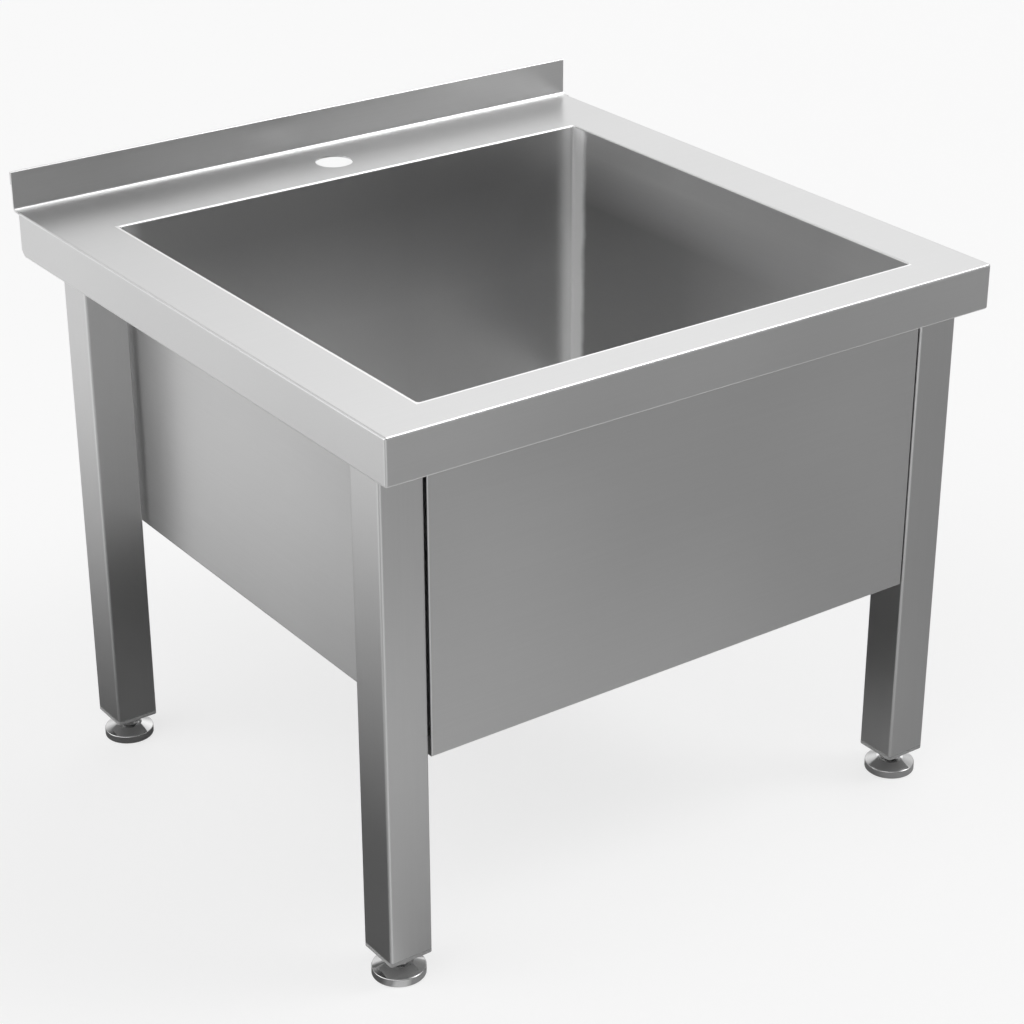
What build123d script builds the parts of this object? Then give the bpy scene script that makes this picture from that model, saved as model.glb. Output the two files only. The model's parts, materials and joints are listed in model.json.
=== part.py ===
from build123d import *
import os

os.makedirs("parts", exist_ok=True)

# All sizes are in millimetres. The origin is on the floor, under the middle of the worktop.
# +Z is up and -Y is the front.

# Worktop
top_width = 600
top_depth = 600
top_height = 500
top_sheet = 1.5
upstand_height = 35
hem_height = 12
hem_top_radius = 1.35
cove_radius = 3
apron_height = 40
apron_return = 8
apron_back_gap = 12
apron_corner = 6
edge_radius = 2
tap_hole_radius = 17.5
tap_hole_setback = 52

# Bowl
bowl_depth = 280
bowl_sheet = 1.2
bowl_corner = 2.5
bowl_side_gap = 3.8
bowl_front_gap = 3.6
bowl_back_gap = 3.8
opening_edge_radius = 1.35
floor_edge_width = 12
floor_fall = 4
drain_land = 130
drain_radius = 45

# Legs, plugs and feet
leg_size = 40
leg_wall = 1.5
leg_corner = 2.5
leg_inset_side = 10
leg_inset_front = 26
leg_inset_back = 70
plug_clearance = 0.2
plug_flange = 4
plug_body = 28
plug_edge_radius = 1
plug_top_radius = 0.8
plug_floor = 4
stud_radius = 5
stud_length = 66
stud_hex_flats = 17
stud_hex_height = 5.5
stud_to_plug = 5.5
insert_nut_flats = 16
insert_nut_height = 8
pad_radius = 22.5
pad_rim = 7
pad_height = 11
pad_boss = 12
pad_floor = 3.7
pad_edge_radius = 0.8
running_clearance = 0.05
seat_gap = 0.3
through_clearance = 0.5

# Front panel and its fixings
panel_sheet = 1.2
panel_gap = 2.5
panel_bottom = 205
panel_top_gap = 5
panel_side_fold = 9
panel_bottom_fold = 20
panel_edge_radius = 1
rivet_radius = 2
rivet_head_radius = 3
rivet_head = 1.2
rivet_tail = 3
rivet_margin = 20
spacer_radius = 3.4

# Rails under the worktop and the fixings of the worktop
rail_width = 20
rail_height = 30
rail_wall = 1.5
front_bar = 8
weld_stud_radius = 3
weld_stud_inset = 60
weld_stud_spare = 1.5
washer_radius = 6
washer_thickness = 1.2
nut_flats = 10
nut_height = 5
stud_hole_clearance = 0.3

# Waste set
flange_radius = 56
flange_thickness = 1.5
flange_edge_radius = 0.9
gasket_width = 9
gasket_thickness = 1.5
cup_radius = 43
cup_wall = 2
cup_depth = 52
nipple_radius = 23.9
nipple_wall = 3.4
nipple_length = 27
lower_gasket_thickness = 3
slip_washer_thickness = 1
locknut_radius = 55
locknut_height = 12
locknut_notches = 8
notch_width = 10
notch_depth = 5
tail_radius = 19.05
tail_wall = 1.5
tail_length = 60
tail_neck_radius = 19.6
tail_neck_length = 5
tail_flange_radius = 22.6
tail_flange = 2
tail_washer = 2
coupling_radius = 29
coupling_height = 26
coupling_lip = 4
coupling_ribs = 12
coupling_rib_radius = 2

# Strainer basket
basket_radius = 36
basket_rim_gap = 0.6
basket_depth = 30
basket_sheet = 1
basket_lift = 3
stopper_radius = 30
stopper_thickness = 3
stopper_chamfer = 1
post_radius = 3
knob_radius = 9
knob_height = 7
knob_edge_radius = 2.5
hole_radius = 2.2
floor_hole_rings = ((13, 8), (21, 14), (29, 20))
wall_hole_count = 20
wall_hole_rows = 2
wall_hole_pitch = 9

# Places that several pieces share
deck_bottom = top_height - top_sheet
apron_bottom = top_height - apron_height
front_y = -top_depth / 2
back_y = top_depth / 2
side_x = top_width / 2
upstand_y = back_y - 2 * top_sheet
apron_end_y = back_y - apron_back_gap
bowl_floor = top_height - bowl_depth
drain_floor = bowl_floor - floor_fall
tap_hole_y = back_y - tap_hole_setback

leg_x = side_x - leg_inset_side - leg_size / 2
leg_inner_x = leg_x - leg_size / 2
front_leg_y = front_y + leg_inset_front + leg_size / 2
rear_leg_y = back_y - leg_inset_back - leg_size / 2
stud_bottom = pad_floor + seat_gap
hex_bottom = pad_height + seat_gap
plug_bottom = hex_bottom + stud_hex_height + stud_to_plug
leg_bottom = plug_bottom + plug_flange
leg_length = deck_bottom - leg_bottom
insert_nut_bottom = leg_bottom + plug_floor
leg_places = {
    "front_left": (-leg_x, front_leg_y),
    "front_right": (leg_x, front_leg_y),
    "rear_left": (-leg_x, rear_leg_y),
    "rear_right": (leg_x, rear_leg_y),
}

panel_y = front_y + leg_inset_front
panel_back_y = panel_y + panel_sheet
panel_half = leg_inner_x - panel_gap
panel_top = deck_bottom - panel_top_gap
rail_bottom = deck_bottom - rail_height
side_fold_top = rail_bottom - rivet_head
rivet_y = panel_back_y + panel_side_fold / 2
rivet_heights = (panel_bottom + rivet_margin, side_fold_top - rivet_margin)
rivet_places = [(rivet_y, z) for z in rivet_heights]

side_rail_front = front_leg_y + leg_size / 2
side_rail_back = rear_leg_y - leg_size / 2
rear_rail_y = rear_leg_y + leg_size / 2 - rail_width / 2

bowl_half = leg_inner_x - bowl_side_gap - bowl_sheet
bowl_front = panel_back_y + front_bar + bowl_front_gap + bowl_sheet
bowl_back = rear_rail_y - rail_width / 2 - bowl_back_gap - bowl_sheet
bowl_width = 2 * bowl_half
bowl_length = bowl_back - bowl_front
bowl_y = (bowl_back + bowl_front) / 2

weld_stud_places = [
    (side * leg_x, y)
    for side in (-1, 1)
    for y in (side_rail_front + weld_stud_inset, side_rail_back - weld_stud_inset)
]
rear_stud_places = [(side * (leg_inner_x - weld_stud_inset), rear_rail_y) for side in (-1, 1)]
stud_places = weld_stud_places + rear_stud_places
washer_bottom = rail_bottom - washer_thickness
nut_bottom = washer_bottom - nut_height
weld_stud_bottom = nut_bottom - weld_stud_spare

flange_bottom = drain_floor + gasket_thickness
flange_top = flange_bottom + flange_thickness
cup_bottom = flange_top - cup_depth
cup_inner = cup_radius - cup_wall
cup_floor = cup_bottom + cup_wall
nipple_inner = nipple_radius - nipple_wall
nipple_bottom = cup_bottom - nipple_length
lower_gasket_bottom = drain_floor - bowl_sheet - lower_gasket_thickness
slip_washer_bottom = lower_gasket_bottom - slip_washer_thickness
locknut_bottom = slip_washer_bottom - locknut_height
tail_inner = tail_radius - tail_wall
tail_washer_bottom = nipple_bottom - tail_washer
tail_flange_bottom = tail_washer_bottom - tail_flange
tail_bottom = tail_flange_bottom - tail_length
coupling_bottom = tail_flange_bottom - coupling_lip
stopper_bottom = cup_floor + seat_gap
stopper_top = stopper_bottom + stopper_thickness
basket_bottom = stopper_top + basket_lift
basket_top = basket_bottom + basket_depth
basket_rim = cup_inner - basket_rim_gap
knob_bottom = basket_top
knob_top = knob_bottom + knob_height


# Worktop: a shallow tray with filleted folds, open at the back, then the rear strip and upstand.
with BuildPart() as worktop:
    with BuildSketch(Plane.XY.offset(apron_bottom)):
        with Locations((0, front_y)):
            Rectangle(top_width, apron_end_y - front_y, align=(Align.CENTER, Align.MIN))
    extrude(amount=apron_height)
    chamfer(worktop.edges().filter_by(Axis.X).group_by(Axis.Y)[-1].sort_by(Axis.Z)[0], apron_corner)
    tray_top = worktop.faces().sort_by(Axis.Z)[-1].edges()
    tray_uprights = worktop.edges().filter_by(Axis.Z).group_by(Axis.Y)[0]
    tray_foot = worktop.faces().sort_by(Axis.Z)[0].edges()
    folds = tray_top.sort_by(Axis.Y)[:-1] + tray_foot.sort_by(Axis.Y)[:-1] + tray_uprights
    fillet(folds, edge_radius)

    # The hollow under the deck, and the return folds left along the foot of the aprons.
    with BuildSketch(Plane.XY.offset(apron_bottom + top_sheet)):
        with Locations((0, front_y + top_sheet)):
            Rectangle(
                top_width - 2 * top_sheet,
                top_depth,
                align=(Align.CENTER, Align.MIN),
            )
    extrude(amount=apron_height - 2 * top_sheet, mode=Mode.SUBTRACT)
    with BuildSketch(Plane.XY.offset(apron_bottom)):
        with Locations((0, front_y + apron_return)):
            Rectangle(
                top_width - 2 * apron_return,
                top_depth,
                align=(Align.CENTER, Align.MIN),
            )
    extrude(amount=top_sheet, mode=Mode.SUBTRACT)

    # Rear strip of the deck, upstand and the hem behind its top.
    with BuildSketch(Plane.XY.offset(deck_bottom)):
        with Locations((0, apron_end_y)):
            Rectangle(
                top_width,
                upstand_y + top_sheet - apron_end_y,
                align=(Align.CENTER, Align.MIN),
            )
    extrude(amount=top_sheet)
    with BuildSketch(Plane.XY.offset(deck_bottom)):
        with Locations((0, upstand_y)):
            Rectangle(top_width, top_sheet, align=(Align.CENTER, Align.MIN))
    extrude(amount=top_sheet + upstand_height)
    with BuildSketch(Plane.XY.offset(top_height + upstand_height - hem_height)):
        with Locations((0, upstand_y + top_sheet)):
            Rectangle(top_width, top_sheet, align=(Align.CENTER, Align.MIN))
    extrude(amount=hem_height)
    long_edges = worktop.edges().filter_by(Axis.X)
    cove = long_edges.filter_by_position(Axis.Y, upstand_y, upstand_y)
    fillet(cove.filter_by_position(Axis.Z, top_height, top_height), cove_radius)
    heel_y = upstand_y + top_sheet
    heel = worktop.edges().filter_by(Axis.X).filter_by_position(Axis.Y, heel_y, heel_y)
    fillet(heel.sort_by(Axis.Z)[0], cove_radius + top_sheet)
    hem_top = worktop.edges().filter_by(Axis.X).group_by(Axis.Z)[-1]
    fillet(hem_top, hem_top_radius)

    # Bowl opening and tap hole.
    with BuildSketch(Plane.XY.offset(top_height)):
        with Locations((0, bowl_y)):
            RectangleRounded(bowl_width, bowl_length, bowl_corner)
        with Locations((0, tap_hole_y)):
            Circle(tap_hole_radius)
    extrude(amount=-top_sheet, mode=Mode.SUBTRACT)
    deck_edges = worktop.edges().filter_by_position(Axis.Z, top_height, top_height)
    in_opening = deck_edges.filter_by_position(Axis.X, -bowl_half, bowl_half)
    fillet(in_opening.filter_by_position(Axis.Y, bowl_front, bowl_back), opening_edge_radius)
worktop.part.label = "worktop"
export_step(worktop.part, "parts/worktop.step")


# Bowl: a welded box with small bends, whose floor falls from all sides to the drain.
with BuildPart() as bowl:
    with BuildSketch(Plane.XY.offset(deck_bottom)):
        with Locations((0, bowl_y)):
            RectangleRounded(
                bowl_width + 2 * bowl_sheet,
                bowl_length + 2 * bowl_sheet,
                bowl_corner + bowl_sheet,
            )
    extrude(amount=bowl_floor - bowl_sheet - deck_bottom)
    fillet(bowl.faces().sort_by(Axis.Z)[0].edges(), bowl_corner)
    with BuildSketch(Plane.XY.offset(bowl_floor - bowl_sheet)):
        with Locations((0, bowl_y)):
            Rectangle(bowl_width - 2 * floor_edge_width, bowl_length - 2 * floor_edge_width)
    with BuildSketch(Plane.XY.offset(drain_floor - bowl_sheet)):
        with Locations((0, bowl_y)):
            Rectangle(drain_land, drain_land)
    loft(ruled=True)
    offset(amount=-bowl_sheet, openings=bowl.faces().sort_by(Axis.Z)[-1])
    with Locations((0, bowl_y, drain_floor)):
        Hole(drain_radius, depth=2 * bowl_sheet)
bowl.part.label = "bowl"
export_step(bowl.part, "parts/bowl.step")


# Front panel: a sheet between the front legs, folded back at its sides and along its foot.
with BuildPart() as front_panel:
    with BuildSketch(Plane.XY.offset(panel_bottom)):
        with Locations((0, panel_y)):
            Rectangle(2 * panel_half, panel_sheet, align=(Align.CENTER, Align.MIN))
    extrude(amount=panel_top - panel_bottom)
    with BuildSketch(Plane.XY.offset(panel_bottom)):
        with Locations((0, panel_back_y)):
            Rectangle(2 * panel_half, panel_bottom_fold, align=(Align.CENTER, Align.MIN))
    extrude(amount=panel_sheet)
    with BuildSketch(Plane.XY.offset(panel_bottom + panel_sheet)):
        fold_x = panel_half - panel_sheet / 2
        with Locations((-fold_x, panel_back_y), (fold_x, panel_back_y)):
            Rectangle(panel_sheet, panel_side_fold, align=(Align.CENTER, Align.MIN))
    extrude(amount=side_fold_top - panel_bottom - panel_sheet)
    face_edges = front_panel.faces().sort_by(Axis.Y)[0].edges()
    fillet(face_edges.sort_by(Axis.Z)[:-1], panel_edge_radius)
    with BuildSketch(Plane.YZ):
        with Locations(*rivet_places):
            Circle(rivet_radius)
    extrude(amount=panel_half, both=True, mode=Mode.SUBTRACT)
front_panel.part.label = "front_panel"
export_step(front_panel.part, "parts/front_panel.step")


# Spacers that hold the panel off the legs, and the blind rivets through them.
with BuildPart() as panel_spacers:
    for side in (-1, 1):
        with BuildSketch(Plane.YZ.offset(side * panel_half)):
            with Locations(*rivet_places):
                Circle(spacer_radius)
                Circle(rivet_radius, mode=Mode.SUBTRACT)
        extrude(amount=side * panel_gap)
panel_spacers.part.label = "panel_spacers"
export_step(panel_spacers.part, "parts/panel_spacers.step")

with BuildPart() as panel_rivets:
    for side in (-1, 1):
        fold_inner_x = panel_half - panel_sheet
        leg_wall_x = leg_inner_x + leg_wall
        with BuildSketch(Plane.YZ.offset(side * fold_inner_x)):
            with Locations(*rivet_places):
                Circle(rivet_head_radius)
        extrude(amount=-side * rivet_head)
        with BuildSketch(Plane.YZ.offset(side * fold_inner_x)):
            with Locations(*rivet_places):
                Circle(rivet_radius)
        extrude(amount=side * (leg_wall_x - fold_inner_x))
        with BuildSketch(Plane.YZ.offset(side * leg_wall_x)):
            with Locations(*rivet_places):
                Circle(rivet_head_radius)
        extrude(amount=side * rivet_tail)
panel_rivets.part.label = "panel_rivets"
export_step(panel_rivets.part, "parts/panel_rivets.step")


# Legs: square tubes from the plugs up to the underside of the deck.
def make_leg(name, x, y):
    with BuildPart() as leg:
        with BuildSketch(Plane((x, y, leg_bottom))):
            RectangleRounded(leg_size, leg_size, leg_corner)
            inner = leg_size - 2 * leg_wall
            RectangleRounded(inner, inner, leg_corner - leg_wall, mode=Mode.SUBTRACT)
        extrude(amount=leg_length)
        if y < 0:
            side = 1 if x > 0 else -1
            with BuildSketch(Plane.YZ.offset(side * leg_inner_x)):
                with Locations(*rivet_places):
                    Circle(rivet_radius)
            extrude(amount=side * leg_wall, mode=Mode.SUBTRACT)
    leg.part.label = f"leg_{name}"
    export_step(leg.part, f"parts/leg_{name}.step")


# Plugs: a flange under the leg, a body inside it, a pocket for the insert nut.
def make_plug(name, x, y):
    with BuildPart() as plug:
        with BuildSketch(Plane((x, y, plug_bottom))):
            RectangleRounded(leg_size, leg_size, leg_corner)
        extrude(amount=plug_flange)
        fillet(plug.faces().sort_by(Axis.Z)[0].edges(), plug_edge_radius)
        fillet(plug.faces().sort_by(Axis.Z)[-1].edges(), plug_top_radius)
        body_size = leg_size - 2 * leg_wall - 2 * plug_clearance
        with BuildSketch(Plane((x, y, leg_bottom))):
            RectangleRounded(body_size, body_size, leg_corner - leg_wall)
        extrude(amount=plug_body)
        chamfer(plug.faces().sort_by(Axis.Z)[-1].edges(), plug_edge_radius)
        with BuildSketch(Plane((x, y, insert_nut_bottom))):
            RegularPolygon(insert_nut_flats / 2 + plug_clearance, 6, major_radius=False)
        extrude(amount=plug_body, mode=Mode.SUBTRACT)
        with Locations((x, y, leg_bottom)):
            Hole(stud_radius + through_clearance)
    plug.part.label = f"leg_plug_{name}"
    export_step(plug.part, f"parts/leg_plug_{name}.step")


# Foot studs: a threaded rod with a hexagon for the spanner.
def make_stud(name, x, y):
    with BuildPart() as stud:
        with BuildSketch(Plane((x, y, stud_bottom))):
            Circle(stud_radius)
        extrude(amount=stud_length)
        with BuildSketch(Plane((x, y, hex_bottom))):
            RegularPolygon(stud_hex_flats / 2, 6, major_radius=False)
        extrude(amount=stud_hex_height)
        chamfer(stud.faces().sort_by(Axis.Z)[-1].edges(), plug_edge_radius)
    stud.part.label = f"foot_stud_{name}"
    export_step(stud.part, f"parts/foot_stud_{name}.step")


# Foot pads: a round disc with a coned top, and a blind socket for the stud.
def make_pad(name, x, y):
    with BuildPart() as pad:
        with BuildSketch(Plane((x, y, 0), x_dir=(1, 0, 0), z_dir=(0, -1, 0))):
            with BuildLine():
                Polyline(
                    (pad_radius, 0),
                    (0, 0),
                    (0, pad_floor),
                    (stud_radius + running_clearance, pad_floor),
                    (stud_radius + running_clearance, pad_height),
                    (pad_boss, pad_height),
                    (pad_radius, pad_rim),
                    close=True,
                )
            make_face()
        revolve(axis=Axis((x, y, 0), (0, 0, 1)))
        rim = pad.edges().filter_by(GeomType.CIRCLE).sort_by(SortBy.RADIUS)[-2:]
        fillet(rim, pad_edge_radius)
    pad.part.label = f"foot_pad_{name}"
    export_step(pad.part, f"parts/foot_pad_{name}.step")


for place, (x, y) in leg_places.items():
    make_leg(place, x, y)
    make_plug(place, x, y)
    make_stud(place, x, y)
    make_pad(place, x, y)

with BuildPart() as insert_nuts:
    with BuildSketch(Plane.XY.offset(insert_nut_bottom)):
        with Locations(*leg_places.values()):
            RegularPolygon(insert_nut_flats / 2, 6, major_radius=False)
            Circle(stud_radius + running_clearance, mode=Mode.SUBTRACT)
    extrude(amount=insert_nut_height)
insert_nuts.part.label = "insert_nuts"
export_step(insert_nuts.part, "parts/insert_nuts.step")


# Rails: tubes at the sides and rear, and a flat bar behind the front panel.
def make_rail(name, size_x, size_y, x, y, bored):
    with BuildPart() as rail:
        with BuildSketch(Plane((x, y, rail_bottom))):
            Rectangle(size_x, size_y)
        extrude(amount=rail_height)
        open_ends = rail.faces().filter_by(Axis.X if size_x > size_y else Axis.Y)
        offset(amount=-rail_wall, openings=open_ends)
        with Locations(*[(hole_x, hole_y, deck_bottom) for hole_x, hole_y in bored]):
            Hole(weld_stud_radius + stud_hole_clearance)
    rail.part.label = name
    export_step(rail.part, f"parts/{name}.step")


side_rail_length = side_rail_back - side_rail_front
side_rail_y = (side_rail_back + side_rail_front) / 2
for name, side in (("side_rail_left", -1), ("side_rail_right", 1)):
    own_studs = [place for place in weld_stud_places if place[0] * side > 0]
    make_rail(name, rail_width, side_rail_length, side * leg_x, side_rail_y, own_studs)
make_rail("rear_rail", 2 * leg_inner_x, rail_width, 0, rear_rail_y, rear_stud_places)

with BuildPart() as front_rail:
    with BuildSketch(Plane.XY.offset(rail_bottom)):
        with Locations((0, panel_back_y)):
            Rectangle(2 * leg_inner_x, front_bar, align=(Align.CENTER, Align.MIN))
    extrude(amount=rail_height)
front_rail.part.label = "front_rail"
export_step(front_rail.part, "parts/front_rail.step")


# Weld studs under the deck, with their washers and nuts below the rails.
with BuildPart() as weld_studs:
    with BuildSketch(Plane.XY.offset(weld_stud_bottom)):
        with Locations(*stud_places):
            Circle(weld_stud_radius)
    extrude(amount=deck_bottom - weld_stud_bottom)
weld_studs.part.label = "weld_studs"
export_step(weld_studs.part, "parts/weld_studs.step")

with BuildPart() as stud_washers:
    with BuildSketch(Plane.XY.offset(washer_bottom)):
        with Locations(*stud_places):
            Circle(washer_radius)
            Circle(weld_stud_radius + stud_hole_clearance, mode=Mode.SUBTRACT)
    extrude(amount=washer_thickness)
stud_washers.part.label = "stud_washers"
export_step(stud_washers.part, "parts/stud_washers.step")

with BuildPart() as stud_nuts:
    with BuildSketch(Plane.XY.offset(nut_bottom)):
        with Locations(*stud_places):
            RegularPolygon(nut_flats / 2, 6, major_radius=False)
            Circle(weld_stud_radius + running_clearance, mode=Mode.SUBTRACT)
    extrude(amount=nut_height)
stud_nuts.part.label = "stud_nuts"
export_step(stud_nuts.part, "parts/stud_nuts.step")


# Waste set, from the bowl's floor down. Every piece stands on the drain's axis.
drain_axis = Axis((0, bowl_y, 0), (0, 0, 1))


def drain_plane(z):
    return Plane((0, bowl_y, z))


def make_ring(name, z, height, outer, inner):
    with BuildPart() as ring:
        with BuildSketch(drain_plane(z)):
            Circle(outer)
            Circle(inner, mode=Mode.SUBTRACT)
        extrude(amount=height)
    ring.part.label = name
    export_step(ring.part, f"parts/{name}.step")


cup_bore = cup_radius + running_clearance
gasket_outer = drain_radius + gasket_width
make_ring("upper_gasket", drain_floor, gasket_thickness, gasket_outer, cup_bore)
make_ring("lower_gasket", lower_gasket_bottom, lower_gasket_thickness, flange_radius, cup_bore)
make_ring("slip_washer", slip_washer_bottom, slip_washer_thickness, flange_radius, cup_bore)
make_ring("tail_washer", tail_washer_bottom, tail_washer, tail_flange_radius, tail_inner)
make_ring("strainer_nipple", nipple_bottom, cup_floor - nipple_bottom, nipple_radius, nipple_inner)

with BuildPart() as strainer_body:
    with BuildSketch(Plane((0, bowl_y, 0), x_dir=(1, 0, 0), z_dir=(0, -1, 0))):
        with BuildLine():
            Polyline(
                (cup_inner, flange_top),
                (flange_radius, flange_top),
                (flange_radius, flange_bottom),
                (cup_radius, flange_bottom),
                (cup_radius, cup_bottom),
                (nipple_radius, cup_bottom),
                (nipple_radius, cup_floor),
                (cup_inner, cup_floor),
                close=True,
            )
        make_face()
    revolve(axis=drain_axis)
    rings = strainer_body.edges().filter_by(GeomType.CIRCLE)
    fillet(rings.group_by(Axis.Z)[-1], flange_edge_radius)
strainer_body.part.label = "strainer_body"
export_step(strainer_body.part, "parts/strainer_body.step")

with BuildPart() as strainer_locknut:
    with BuildSketch(drain_plane(locknut_bottom)):
        Circle(locknut_radius)
        Circle(cup_bore, mode=Mode.SUBTRACT)
        with PolarLocations(locknut_radius, locknut_notches):
            Rectangle(2 * notch_depth, notch_width, mode=Mode.SUBTRACT)
    extrude(amount=locknut_height)
strainer_locknut.part.label = "strainer_locknut"
export_step(strainer_locknut.part, "parts/strainer_locknut.step")

with BuildPart() as tailpiece:
    with BuildSketch(drain_plane(tail_bottom)):
        Circle(tail_radius)
    extrude(amount=tail_length)
    with BuildSketch(drain_plane(tail_flange_bottom)):
        Circle(tail_neck_radius)
    extrude(amount=-tail_neck_length)
    with BuildSketch(drain_plane(tail_flange_bottom)):
        Circle(tail_flange_radius)
    extrude(amount=tail_flange)
    with BuildSketch(drain_plane(tail_bottom)):
        Circle(tail_inner)
    extrude(amount=tail_length + tail_flange, mode=Mode.SUBTRACT)
tailpiece.part.label = "tailpiece"
export_step(tailpiece.part, "parts/tailpiece.step")

with BuildPart() as coupling_nut:
    with BuildSketch(drain_plane(coupling_bottom)):
        Circle(coupling_radius)
        with PolarLocations(coupling_radius, coupling_ribs):
            Circle(coupling_rib_radius)
    extrude(amount=coupling_height)
    with BuildSketch(drain_plane(coupling_bottom)):
        Circle(tail_neck_radius + seat_gap)
    extrude(amount=coupling_lip, mode=Mode.SUBTRACT)
    with BuildSketch(drain_plane(tail_flange_bottom)):
        Circle(nipple_radius + running_clearance)
    extrude(amount=coupling_height, mode=Mode.SUBTRACT)
coupling_nut.part.label = "coupling_nut"
export_step(coupling_nut.part, "parts/coupling_nut.step")


# Strainer basket: a perforated cup, the stopper under it and the knob on its post.
with BuildPart() as strainer_basket:
    with BuildSketch(Plane((0, bowl_y, 0), x_dir=(1, 0, 0), z_dir=(0, -1, 0))):
        with BuildLine():
            Polyline(
                (post_radius, basket_bottom),
                (basket_radius, basket_bottom),
                (basket_radius, basket_top - basket_sheet),
                (basket_rim, basket_top - basket_sheet),
                (basket_rim, basket_top),
                (basket_radius - basket_sheet, basket_top),
                (basket_radius - basket_sheet, basket_bottom + basket_sheet),
                (post_radius, basket_bottom + basket_sheet),
                close=True,
            )
        make_face()
    revolve(axis=drain_axis)
    for ring_radius, ring_count in floor_hole_rings:
        with BuildSketch(drain_plane(basket_bottom)):
            with PolarLocations(ring_radius, ring_count):
                Circle(hole_radius)
        extrude(amount=basket_sheet, mode=Mode.SUBTRACT)
    for row in range(wall_hole_rows):
        row_z = basket_bottom + (row + 1) * wall_hole_pitch
        for step in range(wall_hole_count // 2):
            angle = 360 * (step + row / 2) / wall_hole_count
            drill = Plane((0, bowl_y, row_z), z_dir=Vector(1, 0, 0).rotate(Axis.Z, angle))
            with BuildSketch(drill):
                Circle(hole_radius)
            extrude(amount=basket_radius, both=True, mode=Mode.SUBTRACT)
strainer_basket.part.label = "strainer_basket"
export_step(strainer_basket.part, "parts/strainer_basket.step")

with BuildPart() as basket_stopper:
    with BuildSketch(drain_plane(stopper_bottom)):
        Circle(stopper_radius)
        Circle(post_radius, mode=Mode.SUBTRACT)
    extrude(amount=stopper_thickness)
    stopper_rims = basket_stopper.edges().filter_by(GeomType.CIRCLE).sort_by(SortBy.RADIUS)[-2:]
    chamfer(stopper_rims, stopper_chamfer)
basket_stopper.part.label = "basket_stopper"
export_step(basket_stopper.part, "parts/basket_stopper.step")

with BuildPart() as basket_knob:
    with BuildSketch(drain_plane(stopper_bottom)):
        Circle(post_radius)
    extrude(amount=knob_top - stopper_bottom)
    with BuildSketch(drain_plane(knob_bottom)):
        Circle(knob_radius)
    extrude(amount=knob_height)
    knob_rims = basket_knob.edges().filter_by(GeomType.CIRCLE).sort_by(SortBy.RADIUS)[-2:]
    fillet(knob_rims, knob_edge_radius)
basket_knob.part.label = "basket_knob"
export_step(basket_knob.part, "parts/basket_knob.step")
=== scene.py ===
import json
import math

import bmesh
import bpy
from mathutils import Matrix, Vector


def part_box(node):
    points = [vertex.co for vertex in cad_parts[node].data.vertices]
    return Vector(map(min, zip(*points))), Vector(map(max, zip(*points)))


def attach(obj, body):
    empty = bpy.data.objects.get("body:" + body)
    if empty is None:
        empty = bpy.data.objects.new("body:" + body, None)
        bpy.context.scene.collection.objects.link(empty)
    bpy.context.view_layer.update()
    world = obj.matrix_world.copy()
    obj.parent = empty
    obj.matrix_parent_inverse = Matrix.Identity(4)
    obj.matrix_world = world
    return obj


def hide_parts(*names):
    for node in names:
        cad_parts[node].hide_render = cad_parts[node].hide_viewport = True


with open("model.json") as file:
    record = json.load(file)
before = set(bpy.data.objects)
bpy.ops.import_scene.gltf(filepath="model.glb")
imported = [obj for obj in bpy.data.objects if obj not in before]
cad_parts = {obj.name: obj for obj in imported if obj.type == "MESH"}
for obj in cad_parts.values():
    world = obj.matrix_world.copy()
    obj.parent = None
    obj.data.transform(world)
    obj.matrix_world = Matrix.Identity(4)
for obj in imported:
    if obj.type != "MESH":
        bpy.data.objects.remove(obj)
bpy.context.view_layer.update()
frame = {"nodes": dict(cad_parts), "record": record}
nodes = frame["nodes"]
scene = bpy.context.scene


# Camera: three quarters from the front left, at the photograph's angle.
CAMERA_PLACE = (-1.1845, -1.6970, 1.2503)
CAMERA_DEGREES = (35.470, 26.085, 0.120)  # yaw, pitch, roll
FOCAL_PIXELS = 2561
IMAGE_PIXELS = 1024
SENSOR_WIDTH = 36


def make_camera():
    data = bpy.data.cameras.new("camera")
    camera = bpy.data.objects.new("camera", data)
    scene.collection.objects.link(camera)
    yaw, pitch, roll = (math.radians(angle) for angle in CAMERA_DEGREES)
    turn = (
        Matrix.Rotation(-yaw, 4, "Z")
        @ Matrix.Rotation(math.pi / 2 - pitch, 4, "X")
        @ Matrix.Rotation(-roll, 4, "Z")
    )
    camera.matrix_world = Matrix.Translation(CAMERA_PLACE) @ turn
    data.sensor_width = SENSOR_WIDTH
    data.lens = SENSOR_WIDTH * FOCAL_PIXELS / IMAGE_PIXELS
    data.clip_start = 0.05
    data.clip_end = 200
    scene.camera = camera


make_camera()


# Node helpers. A value that goes into a node is another node's output or a plain number or vector.
# Ramps are kept as tuples: value at the start, value at the end, start, end.
MIX_SOCKETS = {"FLOAT": (2, 3, 0), "VECTOR": (4, 5, 1), "RGBA": (6, 7, 2)}  # first, second, result


def add(tree, kind, **settings):
    node = tree.nodes.new(kind)
    for name, value in settings.items():
        setattr(node, name, value)
    return node


def feed(tree, node, values):
    """Link or set a node's inputs, which are named by text or by number."""
    for name, value in values.items():
        if isinstance(value, bpy.types.NodeSocket):
            tree.links.new(value, node.inputs[name])
        else:
            node.inputs[name].default_value = value
    return node


def number(tree, operation, *values):
    node = add(tree, "ShaderNodeMath", operation=operation)
    return feed(tree, node, dict(enumerate(values))).outputs[0]


def vector(tree, operation, *values):
    """Vector arithmetic. Some operations measure, and give a number."""
    node = add(tree, "ShaderNodeVectorMath", operation=operation)
    measures = operation in ("DOT_PRODUCT", "LENGTH", "DISTANCE")
    return feed(tree, node, dict(enumerate(values))).outputs["Value" if measures else "Vector"]


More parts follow.
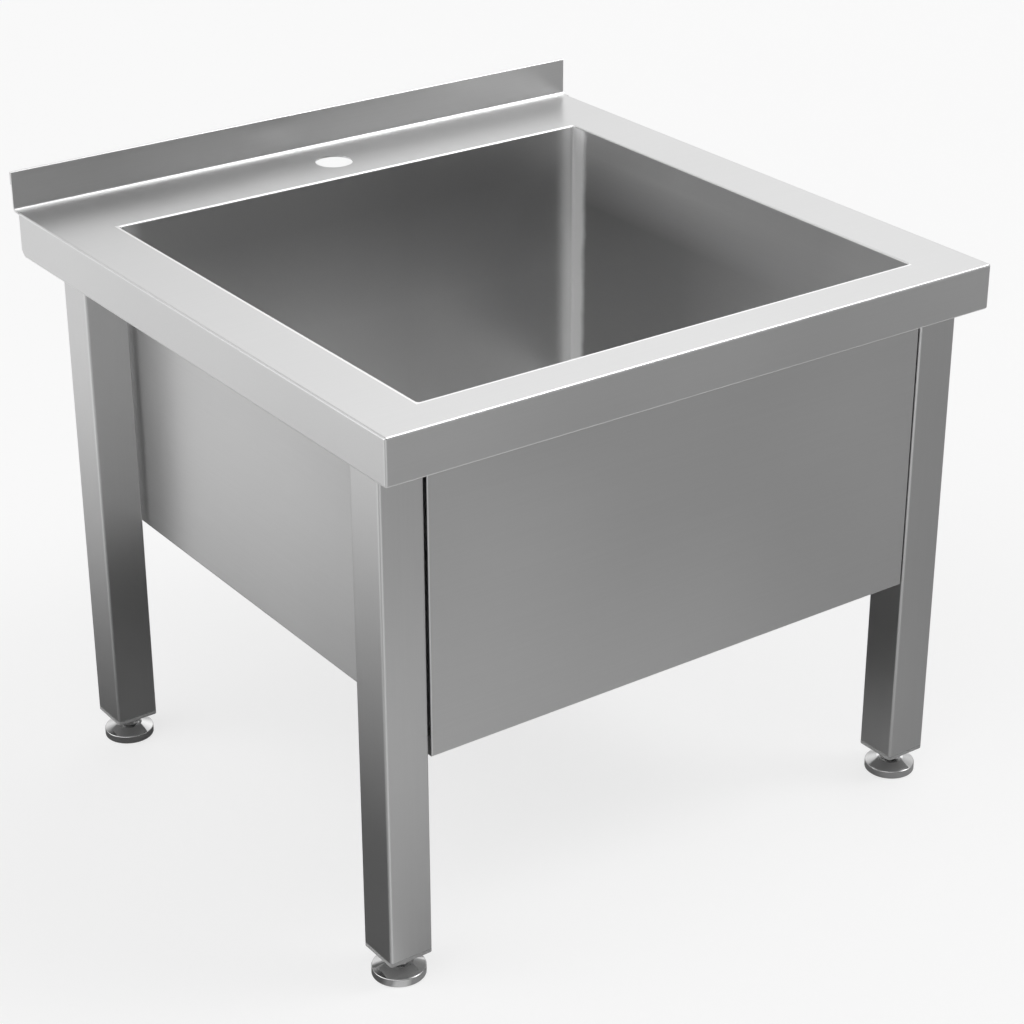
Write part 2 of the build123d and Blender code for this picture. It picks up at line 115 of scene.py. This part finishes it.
def mix(tree, kind, share, first, second, blend="MIX"):
    node = add(tree, "ShaderNodeMix", data_type=kind, blend_type=blend)
    a, b, result = MIX_SOCKETS[kind]
    return feed(tree, node, {0: share, a: first, b: second}).outputs[result]


def ramp(tree, value, low, high, start=0.3, end=0.7):
    """From low to high while the value goes from start to end. The usual range is that of noise."""
    node = add(tree, "ShaderNodeMapRange")
    return feed(tree, node, {
        "Value": value, "From Min": start, "From Max": end, "To Min": low, "To Max": high,
    }).outputs["Result"]


def noise(tree, place, scale, detail, rough):
    node = add(tree, "ShaderNodeTexNoise")
    return feed(tree, node, {
        "Vector": place, "Scale": scale, "Detail": detail, "Roughness": rough,
    }).outputs["Fac"]


def split(tree, value):
    node = feed(tree, add(tree, "ShaderNodeSeparateXYZ"), {0: value})
    return [node.outputs[axis] for axis in "XYZ"]


def object_place(tree):
    return add(tree, "ShaderNodeTexCoord").outputs["Object"]


def new_material(name):
    material = bpy.data.materials.new(name)
    material.use_nodes = True
    material.node_tree.nodes.clear()
    return material, material.node_tree


def put_out(tree, shader, kind="ShaderNodeOutputMaterial"):
    tree.links.new(shader.outputs[0], add(tree, kind).inputs[0])


def shader_of(material):
    return next(node for node in material.node_tree.nodes if node.type == "BSDF_PRINCIPLED")


def source(socket):
    return socket.links[0].from_socket


def recolour(material, share, colour, blend="MIX"):
    """Blend a colour or a tone into a material's base colour."""
    tree = material.node_tree
    base = shader_of(material).inputs["Base Color"]
    tree.links.new(mix(tree, "RGBA", share, source(base), colour, blend), base)


# Stainless steel. Its grain follows one axis of the object.
WHITE = (1.0, 1.0, 1.0, 1)
AXES = {"x": (1, 0, 0), "y": (0, 1, 0), "z": (0, 0, 1)}
GRAIN_STRETCH = 0.015
GRAIN_NOISE = (2.0, 0.6)  # detail, roughness
CLOUD_NOISE = (7, 0.0, 0.5)  # scale, detail, roughness
BROAD_NOISE = (40, 2.0, 0.5)
GRAIN_TONE, CLOUD_TONE = 0.018, 0.03  # shares by which they change it
GRAIN_GLOSS, CLOUD_GLOSS = 0.02, 0.1
SQUARE_ON = 0.7  # cosine beyond which a face is square to the grain's axis


def across_grain(tree, along):
    """Direction in the surface, square to the grain. A face square to the grain's axis is brushed
    along another one."""
    normal = add(tree, "ShaderNodeNewGeometry").outputs["True Normal"]
    facing = vector(tree, "DOT_PRODUCT", normal, AXES[along])
    square_on = number(tree, "GREATER_THAN", number(tree, "ABSOLUTE", facing), SQUARE_ON)
    other = AXES["y" if along == "x" else "x"]
    grain = mix(tree, "VECTOR", square_on, AXES[along], other)
    return vector(tree, "CROSS_PRODUCT", normal, grain)


def steel(name, colour, roughness, grain, along, brushed_look=0.6):
    """Stainless sheet. Its grain runs along one axis. Faint clouds change its tone and gloss."""
    material, tree = new_material(name)
    place = object_place(tree)
    stretch = [GRAIN_STRETCH if size else 1 for size in AXES[along]]
    lines = feed(tree, add(tree, "ShaderNodeMapping"), {"Vector": place, "Scale": stretch})
    brushed = noise(tree, lines.outputs["Vector"], grain, *GRAIN_NOISE)
    clouds = noise(tree, place, *CLOUD_NOISE)

    def vary(level, by_grain, by_clouds):
        fine = ramp(tree, brushed, 1 - by_grain, 1 + by_grain, 0.1, 0.9)
        broad = ramp(tree, clouds, level * (1 - by_clouds), level * (1 + by_clouds), 0.0, 1.0)
        return number(tree, "MULTIPLY", fine, broad)

    tone = vary(1, GRAIN_TONE, CLOUD_TONE)
    shader = feed(tree, add(tree, "ShaderNodeBsdfPrincipled"), {
        "Metallic": 1.0,
        "Anisotropic": brushed_look,
        "Tangent": across_grain(tree, along),
        "Base Color": mix(tree, "RGBA", 1, (*colour, 1), tone, "MULTIPLY"),
        "Roughness": vary(roughness, GRAIN_GLOSS, CLOUD_GLOSS),
    })
    put_out(tree, shader)
    return material


# Painted highlights on folds, chosen by the parts of their surface's normal.
FOLD_HIGHLIGHT_COLOUR = (0.9, 0.9, 0.9, 1)
FOLD_TURNED = (1.0, 0.0, 0.93, 0.995)  # by the largest part
FOLD_NOT_UP = (1.0, 0.0, 0.1, 0.3)  # by z
FOLD_TO_LEFT = (1.0, 0.0, -0.4, -0.2)  # by x
FOLD_UPRIGHT = (0.35, 1.0, 0.1, 0.3)  # by the size of z


def paint_fold_highlights(material, metal):
    """Painted highlights: folds and cut edges are made lighter and less metallic, so they show as
    thin light lines. The top folds are left to mirror the light, except those that face left, which
    get the painted highlight too."""
    tree = material.node_tree
    x, y, z = split(tree, add(tree, "ShaderNodeNewGeometry").outputs["Normal"])
    sizes = [number(tree, "ABSOLUTE", part) for part in (x, y, z)]
    largest = number(tree, "MAXIMUM", sizes[0], number(tree, "MAXIMUM", sizes[1], sizes[2]))
    highlight_side = number(tree, "MAXIMUM", ramp(tree, z, *FOLD_NOT_UP), ramp(tree, x, *FOLD_TO_LEFT))
    highlight_side = number(tree, "MULTIPLY", highlight_side, ramp(tree, sizes[2], *FOLD_UPRIGHT))
    fold_highlight = number(tree, "MULTIPLY", ramp(tree, largest, *FOLD_TURNED), highlight_side)
    feed(tree, shader_of(material), {"Metallic": ramp(tree, fold_highlight, 1.0, metal, 0.0, 1.0)})
    # Painted highlight: the folds' colour is blended towards light grey.
    recolour(material, fold_highlight, FOLD_HIGHLIGHT_COLOUR)


# The bowl's walls, in metres: the planes of their inner faces, and half of the sheet's thickness.
BOWL_SIDE, BOWL_REAR, BOWL_FRONT = 0.245, 0.205, -0.260
HALF_SHEET = 0.0006
SEAM_WAVER = 0.0012
# The seam band: a ground weld finish, whitened as a painted highlight.
SEAM_ON_SIDE_WALL = (1.0, 0.0, 0.013, 0.021)  # by the way to the rear wall
SEAM_ON_REAR_WALL = (0.42, 0.0, 0.008, 0.022)  # by the way to the side wall
SIDE_WALL_FACE = (1.0, 0.0, 0.0015, 0.0025)  # by the same way
# Painted groove shade: a thin line beside the seam where the band is weaker. No groove is modelled.
GROOVE_NEAR = (0.0, 1.0, 0.0022, 0.0030)  # by the same way
GROOVE_FAR = (1.0, 0.0, 0.0036, 0.0050)  # by the same way
GROOVE_SHADE = (1.0, 0.4, 0.0, 1.0)
# The bowl floor is duller, and whitened as painted light from above.
FLOOR_DULL_AND_PAINTED_LIGHT = (0.40, 0.0, 0.222, 0.226)  # by height
FROST_METAL = (1.0, 0.1, 0.0, 1.0)
FROST_ROUGH = (0.0, 0.10, 0.0, 1.0)
OUTSIDE_ROUGH = (0.06, 0.0, 0.0, 1.0)
WALL_ABOVE_FLOOR = (0.0, 1.0, 0.224, 0.250)  # by height
SIDE_RIM = (0.0, 1.0, 0.425, 0.478)  # by height
# Painted light and shade on the inner walls, as tones that multiply their colour.
SIDE_PAINTED_SHADING_LOW = (0.86, 0.60, -0.10, 0.04)  # by y
SIDE_PAINTED_SHADING_RIM = (0.95, 1.36, -0.15, 0.05)  # by y
REAR_PAINTED_SHADING = (1.05, 0.77, 0.36, 0.46)  # by height
REAR_PAINTED_SHADING_RIGHT = (1.0, 1.28, 0.05, 0.20)  # by x
# Painted light and shade on the outer side walls: lighter at the rear foot, darker at the front
# top.
OUTSIDE_PAINTED_SHADING = (1.20, 0.80, 0.0, 2.0)  # from the rear foot of a side wall to its front top
OUTSIDE_FORWARD = 2.15
OUTSIDE_UP = (3.57, -0.714)


def finish_bowl_and_paint_light(material):
    """The rear corners are welded and ground: a frosted band up the walls, beside each seam,
    whitened as a painted highlight, with a thin line along it where the band is weaker, painted as
    a groove's shade. The floor is duller and whitened as painted light. The walls carry painted
    light and shade: ramps by height and place make them lighter or darker, inside and on the outer
    side walls."""
    tree = material.node_tree
    shader = shader_of(material)
    place = object_place(tree)
    x, y, z = split(tree, place)
    to_side = number(tree, "SUBTRACT", BOWL_SIDE, number(tree, "ABSOLUTE", x))
    to_rear = number(tree, "SUBTRACT", BOWL_REAR, y)
    to_front = number(tree, "SUBTRACT", y, BOWL_FRONT)
    nearest = number(tree, "MINIMUM", to_side, number(tree, "MINIMUM", to_rear, to_front))
    inside = number(tree, "GREATER_THAN", nearest, -HALF_SHEET)
    outside = number(tree, "LESS_THAN", to_side, -HALF_SHEET)

    waver = ramp(tree, noise(tree, place, *BROAD_NOISE), -SEAM_WAVER, SEAM_WAVER)
    on_side = ramp(tree, number(tree, "ADD", to_rear, waver), *SEAM_ON_SIDE_WALL)
    # Painted groove shade: the band is weakened along a thin line.
    groove_shade = number(
        tree, "MULTIPLY", ramp(tree, to_side, *GROOVE_NEAR), ramp(tree, to_side, *GROOVE_FAR))
    on_rear = number(
        tree, "MULTIPLY", ramp(tree, to_side, *SEAM_ON_REAR_WALL), ramp(tree, groove_shade, *GROOVE_SHADE))
    # Seam band: less metallic as ground, and whitened below as a painted highlight.
    seam_band_highlight = number(tree, "MAXIMUM", ramp(tree, to_side, *SIDE_WALL_FACE), on_rear)
    seam_band_highlight = number(tree, "MULTIPLY", number(tree, "MULTIPLY", on_side, seam_band_highlight), inside)
    # Bowl floor: duller, and whitened below as painted light.
    floor = number(tree, "MULTIPLY", ramp(tree, z, *FLOOR_DULL_AND_PAINTED_LIGHT), inside)
    frost_and_painted_light = number(tree, "MAXIMUM", seam_band_highlight, floor)

    rough = number(
        tree, "ADD", source(shader.inputs["Roughness"]), ramp(tree, inside, *OUTSIDE_ROUGH))
    feed(tree, shader, {
        "Metallic": ramp(tree, frost_and_painted_light, *FROST_METAL),
        "Roughness": number(tree, "ADD", rough, ramp(tree, frost_and_painted_light, *FROST_ROUGH)),
    })

    # Painted light and shade on the inner walls: lighter or darker by height and place.
    side_painted_shading = mix(tree, "FLOAT", ramp(tree, z, *SIDE_RIM),
                    ramp(tree, y, *SIDE_PAINTED_SHADING_LOW), ramp(tree, y, *SIDE_PAINTED_SHADING_RIM))
    rear_painted_shading = number(
        tree, "MULTIPLY", ramp(tree, z, *REAR_PAINTED_SHADING), ramp(tree, x, *REAR_PAINTED_SHADING_RIGHT))
    is_side = number(tree, "GREATER_THAN", to_rear, to_side)
    on_wall = number(tree, "MULTIPLY", inside, ramp(tree, z, *WALL_ABOVE_FLOOR))
    recolour(material, on_wall, mix(tree, "FLOAT", is_side, rear_painted_shading, side_painted_shading), "MULTIPLY")
    # Painted light and shade on the outer side walls, along a diagonal.
    up = number(tree, "MULTIPLY_ADD", z, *OUTSIDE_UP)
    diagonal = number(tree, "MULTIPLY_ADD", to_rear, OUTSIDE_FORWARD, up)
    recolour(material, outside, ramp(tree, diagonal, *OUTSIDE_PAINTED_SHADING), "MULTIPLY")
    # Painted highlight and light: the seam band and the bowl floor are blended towards white.
    recolour(material, frost_and_painted_light, WHITE)


# Painted highlight: a less metallic oval on the upstand, above the tap hole, which shows lighter.
OVAL_CENTRE = (-0.033, 0.297, 0.520)
OVAL_REACH = (0.040, 0.004, 0.011)
OVAL_HIGHLIGHT = (0.80, 0.0, 0.1, 1.0)  # by the way from the centre, in reaches


def paint_oval_highlight(material):
    tree = material.node_tree
    shader = shader_of(material)
    place = feed(tree, add(tree, "ShaderNodeMapping", vector_type="TEXTURE"), {
        "Vector": object_place(tree), "Location": OVAL_CENTRE, "Scale": OVAL_REACH,
    })
    away = vector(tree, "LENGTH", place.outputs["Vector"])
    # Painted highlight: less metallic inside the oval.
    metal = number(
        tree, "SUBTRACT", source(shader.inputs["Metallic"]), ramp(tree, away, *OVAL_HIGHLIGHT))
    feed(tree, shader, {"Metallic": metal})


RIM_HIGHLIGHT = (1.0, 0.0, 0.0028, 0.0032)  # by the way out from the opening


def paint_rim_highlight(material):
    """Painted highlight: a thin white line along the opening's edge, but not at its right."""
    tree = material.node_tree
    x, y, _ = split(tree, object_place(tree))
    left = number(tree, "MULTIPLY_ADD", x, -1.0, -BOWL_SIDE)
    rear = number(tree, "SUBTRACT", y, BOWL_REAR)
    front = number(tree, "SUBTRACT", BOWL_FRONT, y)
    away = number(tree, "MAXIMUM", left, number(tree, "MAXIMUM", rear, front))
    not_right = number(tree, "LESS_THAN", x, BOWL_SIDE)
    # Painted highlight: the edge band is blended towards white.
    recolour(material, number(tree, "MULTIPLY", ramp(tree, away, *RIM_HIGHLIGHT), not_right), WHITE)


def moulded(name, colour, roughness, grain, bump):
    """Plastic or rubber with a fine moulded texture."""
    material, tree = new_material(name)
    place = object_place(tree)
    fine = noise(tree, place, grain, 3.0, 0.6)
    tone = ramp(tree, noise(tree, place, *BROAD_NOISE), 0.94, 1.06)
    relief = feed(tree, add(tree, "ShaderNodeBump"), {"Distance": bump, "Height": fine})
    shader = feed(tree, add(tree, "ShaderNodeBsdfPrincipled"), {
        "Base Color": mix(tree, "RGBA", 1, (*colour, 1), tone, "MULTIPLY"),
        "Roughness": ramp(tree, fine, roughness - 0.06, roughness + 0.06),
        "Normal": relief.outputs["Normal"],
    })
    put_out(tree, shader)
    return material


# Finishes: grey level, roughness and grain of the sheets, then all materials.
SHEET = (0.70, 0.70, 0.70)
SHEET_GLOSS = 0.30
BOWL_GLOSS = 0.34
SHEET_GRAIN = 600
FINE_GRAIN = 900

brushed_x = steel("steel_grain_x", SHEET, SHEET_GLOSS, SHEET_GRAIN, "x")
brushed_y = steel("steel_grain_y", SHEET, SHEET_GLOSS, SHEET_GRAIN, "y")
leg_steel = steel("steel_legs", SHEET, SHEET_GLOSS, SHEET_GRAIN, "z")
paint_fold_highlights(leg_steel, 0.7)
panel_steel = steel("steel_panel", SHEET, SHEET_GLOSS, SHEET_GRAIN, "x")
paint_fold_highlights(panel_steel, 0.5)
worktop_steel = steel("steel_worktop", SHEET, SHEET_GLOSS, SHEET_GRAIN, "x")
paint_fold_highlights(worktop_steel, 0.4)
paint_oval_highlight(worktop_steel)
paint_rim_highlight(worktop_steel)
bowl_steel = steel("steel_bowl", SHEET, BOWL_GLOSS, SHEET_GRAIN, "y", brushed_look=0.5)
finish_bowl_and_paint_light(bowl_steel)
black_zinc = steel("steel_spacers", (0.05, 0.05, 0.05), 0.55, FINE_GRAIN, "z")

BY_NODE = {
    "worktop": worktop_steel,
    "bowl": bowl_steel,
    "front_panel": panel_steel,
    "panel_spacers": black_zinc,
    "front_rail": brushed_x,
    "rear_rail": brushed_x,
    "side_rail_left": brushed_y,
    "side_rail_right": brushed_y,
}
BY_SLOT = {
    "brushed_stainless": leg_steel,
    "polished_stainless": steel("steel_polished", (0.72, 0.72, 0.72), 0.12, FINE_GRAIN, "z"),
    "fixing_steel": steel("steel_fixings", (0.55, 0.55, 0.54), 0.38, FINE_GRAIN, "z"),
    "plug_plastic": moulded("plug_plastic", (0.36, 0.36, 0.36), 0.50, 900, 0.00004),
    "gasket_rubber": moulded("gasket_rubber", (0.04, 0.04, 0.04), 0.62, 1300, 0.00005),
    "washer_fibre": moulded("washer_plastic", (0.80, 0.80, 0.78), 0.42, 700, 0.00003),
}
slot_of = {row["node"]: row["material_slot"] for row in frame["record"]["subparts"]}
for name, node in nodes.items():
    node.data.materials.clear()
    node.data.materials.append(BY_NODE.get(name) or BY_SLOT[slot_of[name]])


# Foot studs, in metres: a plain neck in the pad's socket, a hexagon, and a rolled thread above it.
PLACES = {
    "front_left": (-0.270, -0.254),
    "front_right": (0.270, -0.254),
    "rear_left": (-0.270, 0.210),
    "rear_right": (0.270, 0.210),
}
STUD_RADIUS = 0.005
STUD_LEAD = 0.0008
STUD_SIDES = 36
NECK_GAP = 0.0002
THREAD_PITCH = 0.0015
THREAD_DEPTH = 0.0009
THREAD_STEPS = 12
THREAD_SLOPE, THREAD_CREST = 1.3, 0.15
HEX_FLATS = 0.017
HEX_FACE = 0.0081
HEX_SIDES = 96
HEX_CHAMFER = math.radians(30)
HEX_BOTTOM = 0.0113
HEX_TOP = 0.0168


def lathe(build, rings):
    """Closed skin through rings of points, from the lowest ring to the highest."""
    rows = [[build.verts.new(point) for point in ring] for ring in rings]
    count = len(rows[0])
    for low, high in zip(rows, rows[1:]):
        for i in range(count):
            j = (i + 1) % count
            build.faces.new((low[i], low[j], high[j], high[i]))
    build.faces.new(reversed(rows[0]))
    build.faces.new(rows[-1])


def ring(x, y, count, radius_at, height_at):
    """Points round an axis. Radius and height are functions of the turn."""
    turns = [2 * math.pi * i / count for i in range(count)]
    return [
        (x + radius_at(t) * math.cos(t), y + radius_at(t) * math.sin(t), height_at(t))
        for t in turns
    ]


def make_stud(place, x, y):
    node = f"foot_stud_{place}"
    low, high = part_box(node)
    core = STUD_RADIUS - THREAD_DEPTH
    build = bmesh.new()

    def stud_ring(z, radius_at):
        return ring(x, y, STUD_SIDES, radius_at, lambda t: z)

    def thread_ring(z):
        def radius_at(t):
            phase = (z / THREAD_PITCH - t / (2 * math.pi)) % 1
            cut = min(1, max(0, THREAD_SLOPE * abs(2 * phase - 1) - THREAD_CREST))
            return min(STUD_RADIUS - THREAD_DEPTH * cut, core + (high.z - z))

        return stud_ring(z, radius_at)

    rings = [
        stud_ring(low.z, lambda t: STUD_RADIUS - STUD_LEAD),
        stud_ring(low.z + STUD_LEAD, lambda t: STUD_RADIUS),
        stud_ring(HEX_TOP - NECK_GAP, lambda t: STUD_RADIUS),
    ]
    z = HEX_TOP
    while z < high.z:
        rings.append(thread_ring(z))
        z += THREAD_PITCH / THREAD_STEPS
    rings.append(stud_ring(high.z, lambda t: core))
    lathe(build, rings)

    def to_flat(t):
        return HEX_FLATS / 2 / math.cos((t + math.pi / 6) % (math.pi / 3) - math.pi / 6)

    def nut_face(z):
        return ring(x, y, HEX_SIDES, lambda t: HEX_FACE, lambda t: z)

    def nut_edge(z, sign):
        def height_at(t):
            return z + sign * (to_flat(t) - HEX_FACE) * math.tan(HEX_CHAMFER)

        return ring(x, y, HEX_SIDES, to_flat, height_at)

    lathe(build, [
        nut_face(HEX_BOTTOM), nut_edge(HEX_BOTTOM, 1), nut_edge(HEX_TOP, -1), nut_face(HEX_TOP)])
    mesh = bpy.data.meshes.new(f"threaded_stud_{place}")
    build.to_mesh(mesh)
    build.free()
    mesh.materials.append(BY_SLOT[slot_of[node]])
    piece = bpy.data.objects.new(mesh.name, mesh)
    scene.collection.objects.link(piece)
    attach(piece, f"stud_{place}")
    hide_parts(node)


for place, (x, y) in PLACES.items():
    make_stud(place, x, y)


# Studio: a pale floor, a reflection mat and a soft sky.
FLOOR_WHITE = 0.7
FLOOR_RADIUS = 40
FLOOR_HEIGHT = -0.0003
MAT_LOW, MAT_HIGH = (-2.6, -3.2), (2.6, 2.6)
MAT_HEIGHT = -0.0001
NEAR_FOOT = (-0.28, -0.26, 0)
# Painted shadow of the sink on the mat: darkest beside it.
MAT_SINK_SHADOW = (0.12, 0.80, 0.35, 0.9)  # by the way from the middle
MAT_FRONT = (0.50, 0.33, 0.1, 0.6)  # by the way from the glow's middle
MAT_GLOW = (-0.05, -0.62, 0)
MAT_LEFT = (0.19, 0.92, 0.0, 0.90)  # by the way out to the left, and half as much to the rear
MAT_LEFT_X, MAT_LEFT_Y, MAT_LEFT_START = -1.2, 0.5, -0.48
MAT_SIDE = 0.38
MAT_CORNER = 0.75
HORIZON = (1.0, 0.0, 0.03, 0.10)
SKY = (  # compass direction and height in degrees, strength, narrowness
    (180, 62, 0.55, 14), (240, 62, 1.80, 14), (40, 36, 1.17, 14), (80, 36, 0.20, 14),
    (120, 36, 0.95, 14), (280, 36, 1.50, 14), (0, 12, 0.95, 14), (30, 12, 0.20, 14),
    (60, 12, 0.55, 14), (300, 12, 2.50, 14), (80, 60, 2.75, 60), (120, 50, 6.90, 60),
)


def stage_object(mesh, material, height):
    mesh.materials.append(material)
    piece = bpy.data.objects.new(mesh.name, mesh)
    piece.location.z = height
    scene.collection.objects.link(piece)
    return piece


def make_floor():
    """Pale floor that the camera and the metal see nearly white, with the object's shadow on it."""
    material, tree = new_material("floor")
    tone = ramp(tree, noise(tree, object_place(tree), 3, 3.0, 0.55), 0.995, 1.005)
    shader = feed(tree, add(tree, "ShaderNodeBsdfPrincipled"), {
        "Roughness": 0.9,
        "Base Color": mix(tree, "RGBA", 1, (0.9, 0.9, 0.9, 1), tone, "MULTIPLY"),
    })
    white = feed(tree, add(tree, "ShaderNodeEmission"), {"Strength": 1.0})
    rays = add(tree, "ShaderNodeLightPath").outputs
    seen = number(tree, "MAXIMUM", rays["Is Camera Ray"], rays["Is Glossy Ray"])
    seen = number(tree, "MAXIMUM", seen, rays["Is Transmission Ray"])
    put_out(tree, feed(tree, add(tree, "ShaderNodeMixShader"), {
        0: number(tree, "MULTIPLY", seen, FLOOR_WHITE), 1: shader.outputs[0], 2: white.outputs[0],
    }))
    build = bmesh.new()
    bmesh.ops.create_circle(build, cap_ends=True, segments=96, radius=FLOOR_RADIUS)
    mesh = bpy.data.meshes.new("floor")
    build.to_mesh(mesh)
    build.free()
    floor = stage_object(mesh, material, FLOOR_HEIGHT)


def make_mat():
    """Grey mat on the floor that only reflections show, as on a product table. Its tones are
    painted light and shade for the metal to mirror: darkest beside the sink as a painted shadow,
    paler away from it, with a lighter glow in front, and light out from the near corner, so that
    the folds there catch light."""
    material, tree = new_material("mat")
    place = object_place(tree)
    x, y, _ = split(tree, place)
    to_left = number(tree, "MULTIPLY_ADD", x, MAT_LEFT_X, MAT_LEFT_START)
    left = ramp(tree, number(tree, "MULTIPLY_ADD", y, MAT_LEFT_Y, to_left), *MAT_LEFT)
    front = ramp(tree, vector(tree, "DISTANCE", place, MAT_GLOW), *MAT_FRONT)
    # Painted shadow: the mat darkens towards the sink.
    sink_shadow = ramp(tree, vector(tree, "LENGTH", place), *MAT_SINK_SHADOW)
    out = vector(tree, "NORMALIZE", vector(tree, "SUBTRACT", place, NEAR_FOOT))

    def toward(heading, start, end):
        """0 to 1 as the way from the near foot turns towards a heading."""
        return ramp(tree, vector(tree, "DOT_PRODUCT", out, heading), 0, 1, start, end)

    tone = mix(tree, "FLOAT", toward((-0.81, -0.58, 0), -0.1, 0.4), sink_shadow, MAT_SIDE)
    tone = mix(tree, "FLOAT", toward((0.58, -0.81, 0), 0.2, 0.6), tone, front)
    tone = mix(tree, "FLOAT", toward((-0.58, 0.81, 0), 0.2, 0.6), tone, left)
    tone = mix(tree, "FLOAT", toward((-0.17, -0.985, 0), 0.82, 0.96), tone, MAT_CORNER)
    put_out(tree, feed(tree, add(tree, "ShaderNodeBsdfDiffuse"), {"Color": tone}))
    (left_x, near_y), (right_x, far_y) = MAT_LOW, MAT_HIGH
    corners = [(left_x, near_y, 0), (right_x, near_y, 0), (right_x, far_y, 0), (left_x, far_y, 0)]
    mesh = bpy.data.meshes.new("mat")
    mesh.from_pydata(corners, [], [(0, 1, 2, 3)])
    mat = stage_object(mesh, material, MAT_HEIGHT)
    for rays in ("camera", "diffuse", "shadow", "transmission"):
        setattr(mat, f"visible_{rays}", False)


def make_sky():
    """Soft sky: the sum of broad glows. The camera sees plain white instead, and so does metal just
    above the horizon."""
    world = bpy.data.worlds.new("studio")
    scene.world = world
    world.use_nodes = True
    tree = world.node_tree
    tree.nodes.clear()
    direction = add(tree, "ShaderNodeTexCoord").outputs["Generated"]
    total = 0
    for azimuth, height, strength, narrow in SKY:
        a, e = math.radians(azimuth), math.radians(height)
        heading = (math.sin(a) * math.cos(e), math.cos(a) * math.cos(e), math.sin(e))
        facing = number(tree, "MAXIMUM", vector(tree, "DOT_PRODUCT", direction, heading), 0)
        glow = number(tree, "POWER", facing, narrow)
        total = number(tree, "MULTIPLY_ADD", glow, strength, total)
    rays = add(tree, "ShaderNodeLightPath").outputs
    mirrored = number(tree, "MAXIMUM", rays["Is Glossy Ray"], rays["Is Transmission Ray"])
    low = ramp(tree, split(tree, direction)[2], *HORIZON)
    mirrored = number(tree, "MULTIPLY", mirrored, low)
    white = number(tree, "MAXIMUM", rays["Is Camera Ray"], mirrored)
    shade = feed(tree, add(tree, "ShaderNodeBackground"), {
        "Color": WHITE, "Strength": mix(tree, "FLOAT", white, total, 1.0),
    })
    put_out(tree, shade, "ShaderNodeOutputWorld")


make_floor()
make_mat()
make_sky()
scene.view_settings.view_transform = "Standard"
